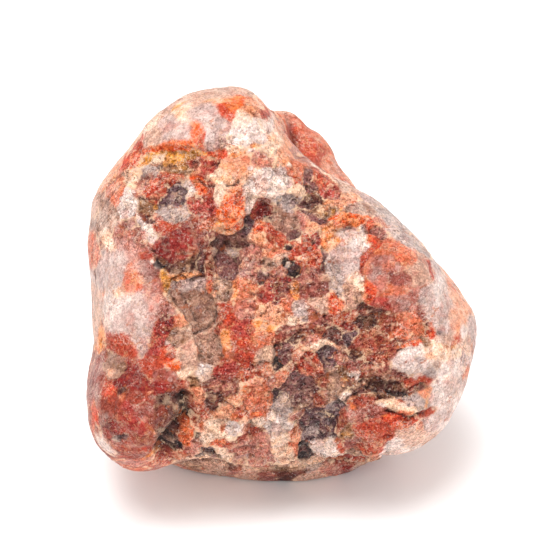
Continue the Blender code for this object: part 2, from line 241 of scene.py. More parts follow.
        (-6.0, 8.3, 1.0, 1.7), (-5.4, 21.0, 1.6, 0.7, 30), (8.3, 7.5, 1.8, 0.5, 4), (12.2, -7.7, 0.8, 0.7),
        (-10.9, -16.8, 0.6, 1.0), (-9.6, 11.6, 0.6, 0.9, 10), (-9.8, 18.3, 1.5, 0.5, -68),
        (-12.7, -8.6, 0.8, 0.6), (-12.8, 16.0, 2.2, 0.35, 2), (-6.6, 9.9, 0.5, 0.7),
    ],
    "red": [
        (-16.2, 16.4, 1.2, 0.35, 58), (-14.5, 10.9, 1.2, 0.7), (-13.2, 12.4, 1.2, 0.45),
        (-2.0, 19.8, 1.0, 0.45, -55), (-8.3, 11.1, 0.5, 0.6), (-15.8, 3.6, 0.8, 0.5, -20),
        (-13.1, 6.6, 1.2, 0.6), (-0.4, 5.6, 0.8, 0.9), (2.6, 4.6, 1.1, 1.0, 30), (10.0, 3.2, 1.2, 0.4, 62),
        (17.2, 2.2, 0.3, 1.4, 15), (-13.0, -7.9, 0.8, 1.0), (-18.0, -7.0, 1.2, 0.6, -15),
        (6.9, -3.8, 1.2, 0.5, 10), (-4.5, -7.5, 1.2, 1.4), (-3.7, -9.7, 0.9, 0.9),
        (3.5, -9.4, 1.5, 0.7, -10), (-15.0, -9.6, 1.2, 0.9), (-15.3, -18.9, 0.9, 0.6),
        (-12.2, -19.1, 1.0, 0.5, 10), (-9.3, -14.4, 0.8, 1.0), (17.0, -14.7, 0.8, 0.6, 20),
        (9.9, -16.3, 1.1, 0.8), (10.5, -18.0, 1.4, 0.7), (15.5, -10.9, 1.2, 0.5, 10),
        (17.1, -5.4, 0.35, 0.4), (-14.3, -20.4, 1.2, 0.4, 10), (7.0, -17.9, 0.4, 0.5),
        (4.2, 15.2, 1.4, 0.6, -50), (-18.3, -5.9, 1.1, 0.45, -20), (-6.7, -3.6, 0.7, 1.5, -20),
        (4.7, 12.3, 1.1, 1.0), (3.4, 3.4, 1.1, 0.6), (2.4, -8.0, 0.9, 0.5), (-10.9, -11.1, 0.8, 0.4, 10),
        (1.3, 17.6, 2.0, 0.9, -60), (11.3, -16.9, 0.9, 1.0), (-20.0, -12.4, 1.2, 0.9),
        (-9.1, 16.8, 0.8, 0.5, -70),
    ],
    "crimson": [
        (-8.9, 9.0, 1.2, 1.1), (-8.4, 13.5, 1.0, 0.9), (5.4, 11.1, 0.8, 0.8), (-14.3, -6.0, 0.8, 1.5, -15),
        (-4.2, -4.9, 1.0, 1.1), (-1.4, -0.9, 0.8, 0.9), (-17.6, -16.0, 1.3, 0.9), (-6.0, -9.4, 1.1, 0.8),
        (11.9, -2.1, 1.1, 0.6), (-17.6, -13.9, 0.8, 0.8),
    ],
    "garnet": [
        (-11.5, 5.6, 1.7, 1.1), (-12.6, 4.2, 1.7, 1.2), (-2.1, 8.6, 0.8, 0.9), (4.2, 5.5, 0.7, 0.6),
        (-0.1, -0.4, 0.8, 1.3, -20), (-13.4, -4.3, 0.9, 0.9), (7.8, -20.4, 2.0, 1.1, 10),
        (-18.2, -11.0, 0.9, 0.7), (-16.2, 10.2, 0.8, 0.15, -5), (-19.2, -16.1, 1.3, 0.8),
        (8.1, -4.6, 0.8, 0.5), (-16.6, -10.9, 1.2, 1.1), (-14.4, -11.6, 1.2, 0.8),
    ],
    "mauve": [
        (3.4, 0.3, 1.5, 1.1), (13.6, 0.9, 1.3, 0.5), (16.1, -3.1, 0.4, 1.0, 10), (12.4, -10.0, 1.4, 0.6),
        (-7.1, -11.8, 1.2, 0.8), (11.1, -14.8, 1.3, 0.6), (4.7, 13.9, 0.8, 0.4, -30),
        (-0.5, -2.0, 0.5, 0.5), (-9.3, 9.8, 0.5, 0.4), (8.8, -17.8, 0.9, 0.5), (-15.3, 12.7, 0.6, 0.4),
        (9.4, -20.2, 0.7, 0.4, 20), (2.9, 15.0, 0.9, 0.4, -40), (1.1, -5.3, 1.2, 0.6),
        (7.6, -8.6, 1.5, 0.6), (-15.4, 1.4, 0.9, 1.4, 10), (-21.6, -10.8, 0.7, 2.3), (5.3, -3.9, 0.8, 0.6),
        (-14.2, -10.3, 0.8, 0.8), (-9.1, 5.1, 0.8, 0.8), (11.3, 6.5, 0.7, 0.3, -25),
        (-1.8, -21.6, 1.4, 0.9), (-7.8, 5.6, 0.5, 0.4), (-15.9, -14.2, 1.1, 1.0),
    ],
    "rust": [
        (-10.2, 14.2, 1.0, 0.5), (12.1, -4.1, 0.9, 0.8), (10.8, -6.3, 1.6, 0.7), (1.5, -9.2, 0.6, 0.6),
        (4.6, -10.8, 0.7, 0.9), (-17.0, -13.1, 1.4, 0.9), (-12.1, -11.6, 0.8, 0.8),
        (-16.6, -17.4, 1.4, 0.7), (-4.1, -17.0, 1.3, 0.3, 10), (6.9, -15.6, 0.6, 0.9),
        (-9.8, -15.4, 0.5, 0.6), (4.5, -5.0, 0.6, 0.5), (-0.3, -6.1, 0.5, 0.6), (-7.4, 13.9, 0.4, 0.4),
        (-9.9, 7.5, 0.6, 0.6), (4.6, -13.0, 0.7, 0.8), (9.2, -13.2, 1.0, 0.5, 10),
        (10.2, -20.0, 1.3, 0.7, 25), (12.2, -7.6, 1.5, 1.2, 20), (-19.9, -14.2, 1.5, 1.6),
        (11.1, -8.1, 1.1, 1.1), (-10.4, 4.0, 0.3, 0.3), (9.9, -9.8, 0.9, 0.7), (-8.2, 2.6, 0.5, 1.5),
        (-1.9, -20.5, 2.4, 0.3), (-17.9, -19.0, 2.0, 1.2, -20),
    ],
    # Some brown crystals stand for painted shade: those near x -12 to -13.5, z -13 to -16.5 in the crevice
    # beside the lower-left lobe, and the one at x 11.4, z -11.5 in the slot above the lower-right ledge.
    "brown": [
        (10.7, -2.9, 1.3, 0.6), (6.3, -5.6, 1.0, 0.7), (2.0, -5.9, 0.8, 0.6), (-7.7, -13.1, 0.9, 0.8),
        (8.7, -7.9, 0.8, 0.4), (3.9, -2.8, 0.5, 0.35), (9.0, -12.1, 0.9, 0.3, -10), (-13.3, 2.9, 0.7, 0.45),
        (-0.1, -7.4, 0.5, 0.7), (0.9, -21.1, 2.4, 1.1, 5), (-15.3, 8.2, 0.7, 0.4, -30),
        (-18.3, -12.2, 0.7, 0.4), (16.0, -11.5, 0.5, 0.2, 20), (-13.5, -14.0, 1.1, 1.0),
        (-12.4, -13.0, 0.8, 0.8), (11.4, -11.5, 1.9, 0.6), (10.1, -4.2, 1.0, 0.6),
        (4.1, 10.3, 0.9, 0.4, -10), (-12.0, -14.6, 0.7, 0.9), (-11.4, 2.7, 1.4, 0.6, 3),
        (-5.6, -20.9, 0.9, 0.4), (-11.6, 3.8, 1.2, 0.15, 2), (-12.2, -16.4, 0.8, 1.5, -30),
    ],
    # Some black crystals stand for painted shade: those near x -11.6 to -13.4, z -13.7 to -17.8 in the
    # crevice beside the lower-left lobe, and the one at x 12.6, z -12.1 in the slot above the lower-right
    # ledge.
    "black": [
        (-14.2, 2.4, 0.6, 0.6), (0.7, 4.6, 0.35, 0.3), (0.3, 2.9, 0.25, 0.45), (1.45, 1.75, 0.6, 0.45, -20),
        (-0.4, -9.0, 0.4, 0.45), (-0.6, -7.1, 0.25, 0.5), (12.6, -12.1, 1.0, 0.25, -15),
        (-13.3, -17.6, 0.5, 0.8), (3.1, -18.5, 0.75, 0.65), (-9.6, -16.9, 0.25, 0.25),
        (11.3, -18.2, 0.25, 0.2), (15.0, -15.1, 0.3, 0.25), (-1.6, 7.9, 0.4, 0.3),
        (-11.6, -15.8, 0.8, 0.4, 45), (-12.9, -17.4, 0.5, 0.9, -20), (-12.6, -17.8, 1.1, 1.1),
        (-13.4, -13.7, 0.6, 0.7), (-18.3, -17.7, 1.0, 0.5), (-0.4, -12.7, 0.4, 0.6),
        (-2.2, 0.4, 0.35, 0.25, 20),
    ],
}

# What the sides and back are made of: mineral and share.
WORN_SIDES = {
    "salmon": 18, "pink": 15, "peach": 12, "beige": 11, "red": 8, "orange": 6, "cream": 7,
    "lilac": 8, "ash": 5, "mauve": 6, "rust": 4, "white": 4, "dun": 4, "smoke": 2, "brown": 2,
}

# A ledge dies away over these many millimetres behind its reach, and towards each end of its path.
LEDGE_END = 0.5
LEDGE_FADE = 1.2

# Ledges: (rise, sharpness, reach, path). The side to the left of the path's way stands higher.
LEDGES = [
    (0.50, 0.16, 3.0, [(-16.0, 15.6), (-13.0, 16.2), (-10.5, 16.2), (-8.4, 15.6)]),
    (0.95, 0.12, 2.6, [
        (-9.8, -9.6), (-9.6, -7.4), (-10.4, -5.2), (-11.4, -3.3), (-12.6, -1.6), (-13.5, 0.2),
    ]),
    (1.30, 0.20, 3.2, [
        (-13.5, -18.8), (-13.4, -17.2), (-12.3, -16.2), (-11.1, -15.3), (-10.5, -14.0), (-10.7, -12.5),
    ]),
    (0.80, 0.12, 1.5, [(11.6, -13.8), (13.1, -14.3), (14.5, -14.7), (15.7, -14.5), (17.4, -13.7)]),
    (0.50, 0.12, 1.6, [(12.6, -7.4), (14.5, -7.1), (16.2, -6.8)]),
    (1.10, 0.20, 3.0, [
        (-12.8, -19.7), (-8.0, -19.2), (-3.0, -20.1), (1.0, -20.2), (5.0, -19.4), (9.5, -19.4), (12.2, -19.7),
    ]),
    (0.80, 0.15, 2.6, [(-13.6, 1.9), (-12.5, 1.2), (-11.4, 1.5), (-10.4, 1.0), (-9.4, 1.4)]),
    (0.45, 0.18, 1.8, [(-9.3, 1.5), (-9.9, 2.8), (-9.3, 4.0), (-9.9, 5.2), (-9.5, 6.4)]),
    (0.70, 0.15, 1.5, [(-4.7, 6.2), (-4.4, 8.5), (-4.2, 10.9)]),
    (0.60, 0.15, 1.8, [(-3.8, 9.4), (-2.8, 10.2), (-1.0, 10.2), (0.6, 10.6), (2.4, 10.3)]),
    (0.45, 0.15, 1.8, [(12.4, 5.3), (10.5, 3.6), (9.4, 1.9), (9.8, -0.4)]),
    (0.45, 0.12, 1.6, [(5.8, 6.7), (8.0, 7.1), (10.6, 7.0), (12.0, 6.4)]),
    (0.40, 0.12, 1.2, [(-14.4, 12.0), (-12.0, 12.2), (-9.6, 12.8), (-7.4, 12.2)]),
    (0.50, 0.12, 1.4, [(6.0, -12.6), (7.4, -13.4), (9.0, -12.7), (11.5, -12.6)]),
    (0.35, 0.12, 1.2, [(0.0, -13.6), (1.6, -14.0), (3.6, -13.6), (4.6, -12.2), (4.4, -10.6)]),
    (0.40, 0.12, 1.2, [(-9.4, -15.2), (-6.5, -15.0), (-3.6, -16.2)]),
]

# Cracks and crevices: (half-width, depth, how dark the painted shade in them is, path).
CRACKS = [
    (0.85, 1.60, 1.0, [
        (-13.7, -18.9), (-13.6, -17.6), (-12.6, -16.5), (-11.5, -15.5), (-10.9, -14.2), (-11.0, -12.9),
    ]),
    (0.13, 0.35, 0.8, [(-9.4, 12.3), (-8.5, 11.7), (-7.6, 11.5)]),
    (0.13, 0.35, 0.8, [(-6.3, 11.6), (-5.5, 11.7), (-4.8, 12.1)]),
    (0.10, 0.20, 0.6, [(-18.0, 13.3), (-19.6, 11.9), (-21.2, 10.3)]),
    (0.09, 0.15, 0.4, [(-17.2, 12.9), (-19.0, 11.2), (-20.6, 9.2)]),
    (0.12, 0.30, 0.6, [(-10.1, -5.6), (-8.9, -4.9), (-8.0, -4.0), (-7.4, -2.2)]),
    (0.10, 0.20, 0.4, [(-11.6, -1.0), (-10.2, -2.8), (-9.4, -4.6)]),
    (0.16, 0.40, 0.8, [(8.8, -12.3), (7.8, -12.6), (6.9, -13.4)]),
    (0.22, 0.50, 0.7, [(-11.8, -19.6), (-9.6, -19.0), (-8.0, -18.7), (-6.4, -19.5)]),
    (0.14, 0.30, 0.7, [(12.2, -14.2), (13.6, -14.7), (15.0, -15.0), (16.6, -14.6)]),
    (0.28, 0.60, 0.7, [
        (-12.4, -20.3), (-8.0, -19.9), (-3.0, -20.5), (1.0, -20.6), (5.0, -20.0), (9.5, -20.0), (11.8, -19.9),
    ]),
    (0.45, 0.90, 0.5, [(10.8, -20.2), (12.0, -19.6), (13.2, -19.9)]),
    (0.60, 0.80, 0.0, [(0.2, 19.3), (1.0, 18.1), (1.7, 16.9), (2.3, 15.4)]),
    (0.12, 0.30, 0.8, [(-16.4, 10.2), (-15.0, 10.0), (-13.9, 10.0)]),
    (0.12, 0.25, 0.5, [(-0.9, -6.2), (-0.6, -8.0), (-0.2, -9.6)]),
    (0.12, 0.30, 0.5, [(10.4, -12.0), (12.4, -12.5), (14.0, -12.3), (15.6, -11.5), (16.6, -11.4)]),
    (0.15, 0.35, 0.5, [(-12.5, 0.9), (-11.4, 1.2), (-10.4, 0.7), (-9.4, 1.1)]),
    (0.10, 0.25, 0.5, [(-4.4, -13.4), (-3.9, -14.6), (-3.4, -16.0)]),
]

# Swells and dips of the broken face: (height, x, z, half-length, half-width, turn in degrees).
SWELLS = [
    (0.60, -4.9, 13.6, 2.0, 1.5, 10),
    (0.35, -3.4, 17.8, 2.2, 2.0, -20),
    (0.50, -6.0, 8.6, 1.1, 2.2),
    (0.45, -11.5, 5.2, 2.2, 1.8),
    (-0.70, -6.2, 3.6, 1.6, 1.9),
    (-0.50, -2.0, 8.6, 1.1, 1.1),
    (-0.45, 0.6, 7.4, 1.8, 1.1),
    (0.30, 5.8, 5.5, 1.0, 1.0),
    (-0.70, 3.6, 9.4, 1.4, 0.8),
    (0.35, -1.9, -7.9, 1.1, 1.1),
    (-0.45, -0.2, -8.2, 0.6, 1.6),
    (-0.45, 10.2, -4.1, 1.7, 0.9, -10),
    (0.45, 15.2, -8.6, 2.0, 1.3),
    (-0.80, 11.4, -11.6, 1.9, 0.7, -5),
    (-0.30, 2.3, -11.8, 1.9, 1.2, -35),
    (-0.35, 4.1, -16.1, 1.8, 1.5),
    (0.35, -7.2, -16.8, 2.0, 0.9),
    (-0.40, -8.8, -3.6, 1.4, 2.6, 10),
    (0.35, -4.5, -0.6, 1.1, 1.1),
    (0.30, -12.4, 10.2, 1.2, 1.2),
    (-0.45, -8.4, 13.4, 1.2, 1.0),
    (0.40, 13.8, 1.6, 3.0, 2.4, -50),
    (-0.30, 6.9, 1.2, 1.1, 2.4, 10),
]

# Swells of the lobe behind the broken face's upper edge, as in SWELLS, and how deep that lobe lies.
SHOULDERS = [
    (1.35, 0.0, 19.2, 2.4, 1.9, -20),
    (0.60, 5.2, 16.2, 2.4, 1.3, -55),
]
SHOULDER_DEPTHS = (-1.0, 3.0)

# Places where the face is worn or smooth by nature: (x, z, half-length, half-width, turn, how much).
CALM = [
    (-16.5, -13.0, 5.5, 6.5, 0, 0.8),
    (-17.8, -1.0, 4.0, 5.5, 0, 0.9),
    (13.6, 0.8, 4.6, 3.6, -50, 0.8),
    (-9.5, 19.0, 6.0, 2.8, 20, 0.9),
    (-4.8, 13.6, 2.0, 1.4, 10, 0.6),
    (15.2, -8.6, 2.2, 1.5, 0, 0.7),
    (-12.0, 4.8, 2.6, 2.4, 0, 0.7),
    (-10.4, -2.8, 2.0, 3.0, 25, 0.5),
    (-10.6, -7.8, 1.4, 2.4, 10, 0.8),
    (7.8, 3.6, 1.8, 2.8, 0, 0.7),
    (0.5, 7.5, 2.0, 1.4, 0, 0.5),
    (10.0, -15.5, 3.2, 2.2, 0, 0.4),
    (-5.0, -5.5, 2.0, 4.0, 0, 0.3),
    (18.5, -12.0, 3.0, 6.0, 20, 0.9),
    (19.2, -2.5, 2.4, 5.0, 10, 0.9),
    (2.5, 16.5, 3.8, 2.8, -50, 0.9),
    (-3.2, 17.6, 2.6, 2.0, -20, 0.5),
]

# The worn skin's frost: how much, how patchy, at most, and between which heights up the face it sets in.
FROST = 0.12
FROST_PATCHES = 0.30
MOST_FROST = 0.5
FROST_FOOT = (-19.2, -18.4)

# The outline inside which the face is freshly broken; outside it the rock is water-worn.
FRESH_OUTLINE = [
    (-18.8, 12.2), (-15.8, 15.8), (-8.6, 16.4), (-6.6, 20.6), (-3.6, 21.6), (-0.6, 18.0), (2.4, 14.0),
    (6.6, 11.6), (8.6, 8.2), (12.0, 6.0), (16.0, 3.2), (17.4, -0.6), (17.2, -6.2), (17.6, -10.8),
    (17.6, -14.6), (14.2, -16.8), (12.0, -19.4), (4.0, -20.0), (-12.0, -20.0), (-16.0, -18.8), (-19.8, -16.6),
    (-20.2, -12.0), (-20.4, -6.6), (-16.6, -7.0), (-14.2, -1.6), (-15.0, 3.4), (-18.6, 5.6),
]

# How far the fresh outline wanders, and how softly it ends.
FRESH_WANDER = 0.8
FRESH_EDGE = 0.9

# How far points are pushed about before patterns are laid on them: (lump size, push).
CRYSTAL_WARP = [(2.4, 0.50), (0.9, 0.30), (0.42, 0.14)]
FEATURE_WARP = [(1.5, 0.22), (0.5, 0.12)]
GRAIN_WARP = [(1.1, 0.30), (0.5, 0.12)]
SAND_WARP = [(0.4, 0.08)]
KNOCK_WARP = [(5.0, 1.2)]

# Fractal noise: how fast its ripples weaken, how much smaller each is than the last, and how many there are.
FRACTAL = (0.9, 2.1, 4)

# A crystal's claim falls off with depth too, and its border is softer where the rock is calm.
DEPTH_CLAIM = 0.3
BORDER_SOFTNESS = 0.10
CALM_SOFTNESS = 0.08
BORDER_DEPTH = 0.07
BORDER_WIDTH = 0.20

# Random crystals of the sides and back: large ones, patches of small ones, and how weak their claims are,
# most of all on the side that the observer sees.
SIDE_SIZE = 3.2
SMALL_SIDE_SIZE = 1.7
SIDE_SIZE_RATIO = 1.9
SIDE_RADIUS = 1.8
SMALL_PATCH = 5.0
SMALL_ABOVE = 0.12
SIDE_CLAIM = 0.55
FRONT_CLAIM = 2.0
FRONT_FACING = (-0.30, 0.05)

# Grains are grown into the crystals, and grains of sand size into those: size, how many hold a guest
# mineral, how much of its colour, how much lighter or darker, and how high they stand and lean.
GRAIN_SIZE = 0.95
GRAIN_CHOSEN = (0.60, 0.72)
GRAIN_GUESTS = 0.45
GRAIN_LIGHT = 0.22
GRAIN_RISE = 0.10
GRAIN_TILT = 0.60
SAND_SIZE = 0.42
SAND_CHOSEN = (0.66, 0.80)
SAND_GUESTS = 0.30
SAND_LIGHT = 0.26
SAND_RISE = 0.05
PATCH_LIGHT = 0.16

# Flakes of the broken face, in steps, stretched along it.
FLAKE_SHAPE = (0.65, 1.0, 1.5)
FLAKE_STEP = 0.13
SMALL_FLAKE_STEP = 0.06
RISER_START = 0.72

# How sharply a swell ends, and how much wider than a crack the painted shade along it is.
SWELL_EDGE = 2.8
CRACK_SHADE_SPREAD = 1.1

# The back and the worn skin.
LUMP_HEIGHT = 0.55
KNOCK_SIZE = 7.5
KNOCK_DEPTH = 0.35
KNOCK_EDGE = 1.8
BACK_STEP = 0.14
FISSURE_WIDTH = 0.035
FISSURE_DEPTH = 0.30
# How dark the painted shade in a fissure is.
FISSURE_DARK = 0.55
PIT_DEPTH = 0.16

# Painted shade and highlight, and the worn skin's frost: how much hollows are painted darker and raised edges
# paler (part rubbed wear, part painted highlight), and the colours (sRGB, 0 to 255).
HOLLOW_SHADE = 0.55
EDGE_LIGHT = 0.30
EDGE_WEAR_AND_HIGHLIGHT = (236, 190, 150)
CRACK_SHADE = (40, 18, 14)
FROST_COLOUR = (222, 200, 188)

# The material's finest detail: crystals to a millimetre, and colours (linear light).
CELLS_PER_MM = 4.6
DARKEST = (0.004, 0.003, 0.003)
# The sparkle and grain glint colours are painted highlights laid into the base colour.
PAINTED_SPARKLE = (0.92, 0.84, 0.77, 1.0)
SPECK = (0.34, 0.20, 0.18, 1.0)
IRON_STAIN = (1.0, 0.62, 0.36, 1.0)
AMBER_THREAD = (0.80, 0.42, 0.20, 1.0)
WHITE_THREAD = (0.86, 0.68, 0.56, 1.0)
DARK_THREAD = (0.32, 0.18, 0.14, 1.0)
PAINTED_GRAIN_GLINT = (0.72, 0.44, 0.30, 1.0)
GRAIN_GAP = (0.36, 0.20, 0.16, 1.0)
RUSTY_VEIN = (0.42, 0.10, 0.03, 1.0)
PALE_VEIN = (0.84, 0.56, 0.36, 1.0)

# The stage, in metres. Each light: place from the face's middle, size, watts.
FLOOR_SIZE = 6.0
FLOOR_COLOUR = (0.97, 0.97, 0.97, 1.0)
WORLD_STRENGTH = 0.78
LIGHTS = {
    "key": ((-0.10, -0.10, 0.60), 0.40, 3.9),
    "fill": ((0.30, -0.50, 0.30), 0.50, 1.2),
}


def linear(colour):
    """Linear light from an sRGB colour of 0 to 255."""
    c = np.array(colour, float) / 255.0
    return np.where(c <= 0.04045, c / 12.92, ((c + 0.055) / 1.055) ** 2.4)


def smooth_step(low, high, x):
    t = np.clip((x - low) / (high - low), 0.0, 1.0)
    return t * t * (3.0 - 2.0 * t)


def blended(colour, other, share):
    """Colours moved towards another by each point's share."""
    return colour * (1.0 - share[:, None]) + other * share[:, None]


# ---------------------------------------------------------------- frames


def turn_to_face(directions):
    """Turns directions of the rock's frame into the face's: x across, y into the rock, z up the face."""
    c, s = math.cos(LEAN), math.sin(LEAN)
    y, z = directions[:, 1], directions[:, 2]
    return np.stack([directions[:, 0], y * c - z * s, y * s + z * c], axis=1)


def to_face(points):
    return turn_to_face(points - np.array(FACE_MIDDLE))


def as_seen(face_points):
    """Where the observer sees points of the face's frame: (x, z) on the plane through the face's middle."""
    shrink = EYE_DISTANCE / (EYE_DISTANCE + face_points[:, 1])
    return face_points[:, 0] * shrink, face_points[:, 2] * shrink


# ---------------------------------------------------------------- patterns


def ripple(points, size, seed):
    """Smooth noise from about -1 to 1 with lumps of the given size."""
    places = (points / size + np.array([seed * 7.31, seed * 3.17, seed * 5.83])).tolist()
    return np.array([noise.noise(p) for p in places])


def rough(points, size, seed):
    """Fractal noise: ripples of the given size and of ever smaller ones."""
    places = (points / size + np.array([seed * 2.71, seed * 6.19, seed * 4.41])).tolist()
    return np.array([noise.fractal(p, *FRACTAL) for p in places])


def dice(cells, seed):
    """Five even random numbers from 0 to 1 for each whole-numbered cell."""
    n = (cells[:, 0] * 73856093) ^ (cells[:, 1] * 19349663) ^ (cells[:, 2] * 83492791)
    n = (n + seed * 668265263) & 0xFFFFFFFF
    rolls = []
    for _ in range(5):
        n = ((n ^ (n >> 15)) * 739982445) & 0xFFFFFFFF
        n = ((n ^ (n >> 12)) * 695872825) & 0xFFFFFFFF
        rolls.append((n >> 8) / float(1 << 24))
    return np.stack(rolls, axis=1)


def grains(points, size, seed):
    """Packed grains of about the given size.

    Gives each point's distance to its own grain's middle and to the next one's, the offset from its own
    middle, and its grain's five random numbers.
    """
    scaled = points / size
    home = np.floor(scaled).astype(np.int64)
    first = np.full(len(points), 9.0)
    second = np.full(len(points), 9.0)
    offset = np.zeros((len(points), 3))
    rolls = np.zeros((len(points), 5))
    for step in product((-1, 0, 1), repeat=3):
        cells = home + np.array(step)
        thrown = dice(cells, seed)
        away = scaled - (cells + thrown[:, :3])
        distance = np.linalg.norm(away, axis=1)
        nearer = distance < first
        second = np.where(nearer, first, np.minimum(second, distance))
        first = np.where(nearer, distance, first)
        offset[nearer] = away[nearer]
        rolls[nearer] = thrown[nearer]
    return first * size, second * size, offset * size, rolls


def steps(points, size, per_unit, seed):
    """Rough noise cut into steps: level treads with short steep risers between them."""
    values = rough(points, size, seed) * per_unit
    tread = np.floor(values)
    return tread + smooth_step(RISER_START, 1.0, values - tread)


def warp(points, layers, seed):
    """Points pushed about by noise, in layers of (lump size, push)."""
    moved = points.copy()
    for number, (size, push) in enumerate(layers):
        for axis in range(3):
            moved[:, axis] += push * ripple(points, size, seed + number * 3 + axis)
    return moved


def path_distance(x, z, path):
    """Distance from each (x, z) to a path, signed: positive to the left of its way.

    Also gives how far along the path its nearest point is from the nearer of the path's two ends.
    """
    best = np.full(len(x), np.inf)
    signed = np.zeros(len(x))
    passed = np.zeros(len(x))
    start = 0.0
    for (x0, z0), (x1, z1) in zip(path[:-1], path[1:]):
        length = math.hypot(x1 - x0, z1 - z0)
        ux, uz = (x1 - x0) / length, (z1 - z0) / length
        along = np.clip((x - x0) * ux + (z - z0) * uz, 0.0, length)
        dx, dz = x - x0 - along * ux, z - z0 - along * uz
        distance = np.hypot(dx, dz)
        side = np.sign(ux * dz - uz * dx)
        nearer = distance < best
        best[nearer] = distance[nearer]
        signed[nearer] = (distance * side)[nearer]
        passed[nearer] = (start + along)[nearer]
        start += length
    return signed, np.minimum(passed, start - passed)


def inside_outline(x, z, outline):
    """Signed distance to a closed outline: positive inside."""
    edge = np.abs(path_distance(x, z, outline + outline[:1])[0])
    inside = np.zeros(len(x), bool)
    for (x0, z0), (x1, z1) in zip(outline, outline[1:] + outline[:1]):
        if z0 != z1:
            crosses = (z0 > z) != (z1 > z)
            inside ^= crosses & (x < x0 + (z - z0) * (x1 - x0) / (z1 - z0))
    return np.where(inside, edge, -edge)


def oval(x, z, middle_x, middle_z, along, across, turn=0.0):
    """How far each (x, z) is out from an oval's middle: 1 on its edge."""
    c, s = math.cos(math.radians(turn)), math.sin(math.radians(turn))
    u = ((x - middle_x) * c + (z - middle_z) * s) / along
    v = ((z - middle_z) * c - (x - middle_x) * s) / across
    return np.hypot(u, v)


# ---------------------------------------------------------------- the surface


def read(items, what, width, kind=float):
    """The same value of every item of a mesh, one row to an item."""
    values = np.empty(len(items) * width, kind)
    items.foreach_get(what, values)
    return values.reshape(-1, width)


def coordinates(mesh):
    """A mesh's vertices in millimetres."""
    return read(mesh.vertices, "co", 3) / MM


def normals(mesh):
    return read(mesh.vertex_normals, "vector", 3)


def mesh_edges(mesh):
    return read(mesh.edges, "vertices", 2, np.int64)


def place(mesh, points):
    mesh.vertices.foreach_set("co", (points * MM).ravel())
    mesh.update()


def relax(points, edges, rounds):
    """Smooths values held at the vertices by moving each halfway to the mean of its neighbours."""
    count = np.bincount(edges.ravel(), minlength=len(points)).astype(float)
    values = points.reshape(len(points), -1).copy()
    for _ in range(rounds):
        mean = np.empty_like(values)
        for column in range(values.shape[1]):
            v = values[:, column]
            total = np.bincount(edges[:, 0], weights=v[edges[:, 1]], minlength=len(v))
            total += np.bincount(edges[:, 1], weights=v[edges[:, 0]], minlength=len(v))
            mean[:, column] = total / count
        values += (mean - values) * 0.5
    return values.reshape(points.shape)


def rebuilt_surface(node):
    """A fine, even, smooth mesh over a CAD node, twice as fine where the broken face is."""
    work = bpy.data.objects.new("surface_work", node.data.copy())
    bpy.context.scene.collection.objects.link(work)
    remesh = work.modifiers.new("remesh", "REMESH")
    remesh.mode = "VOXEL"
    remesh.voxel_size = SKIN_VOXEL * MM
    remesh.use_smooth_shade = True
    graph = bpy.context.evaluated_depsgraph_get()
    mesh = bpy.data.meshes.new_from_object(work.evaluated_get(graph))
    bpy.data.objects.remove(work)
    mesh.materials.clear()
    place(mesh, relax(coordinates(mesh), mesh_edges(mesh), SKIN_ROUNDS))

    points = to_face(coordinates(mesh))
    facing = -turn_to_face(normals(mesh))[:, 1]
    inset = inside_outline(*as_seen(points), FRESH_OUTLINE)
    fine = (facing > FINE_FACING) & (points[:, 1] < FINE_DEPTH) & (inset > -FINE_MARGIN)
    b = bmesh.new()
    b.from_mesh(mesh)
    b.verts.ensure_lookup_table()
    split = [e for e in b.edges if fine[e.verts[0].index] and fine[e.verts[1].index]]
    bmesh.ops.subdivide_edges(b, edges=split, cuts=1, use_grid_fill=True)
    bmesh.ops.triangulate(b, faces=[f for f in b.faces if len(f.verts) > 4])
    b.to_mesh(mesh)
    b.free()
    place(mesh, relax(coordinates(mesh), mesh_edges(mesh), FINE_ROUNDS))
    return mesh


# ---------------------------------------------------------------- crystals


def side_grains(points):
    """The random crystals of the sides and back.

    Gives each point's distance to its own and to the next one's middle, and its mineral's number.
    """
    first, second, _, rolls = grains(points, SIDE_SIZE, 11)
    small_first, small_second, _, small_rolls = grains(points, SMALL_SIDE_SIZE, 12)
    small = ripple(points, SMALL_PATCH, 17) > SMALL_ABOVE
    first = np.where(small, small_first * SIDE_SIZE_RATIO, first)
    second = np.where(small, small_second * SIDE_SIZE_RATIO, second)
    roll = np.where(small, small_rolls[:, 3], rolls[:, 3])
    shares = np.cumsum(list(WORN_SIDES.values())) / sum(WORN_SIDES.values())
    picked = np.minimum(np.searchsorted(shares, roll), len(WORN_SIDES) - 1)
    names = list(MINERALS)
    return first, second, np.array([names.index(n) for n in WORN_SIDES])[picked]


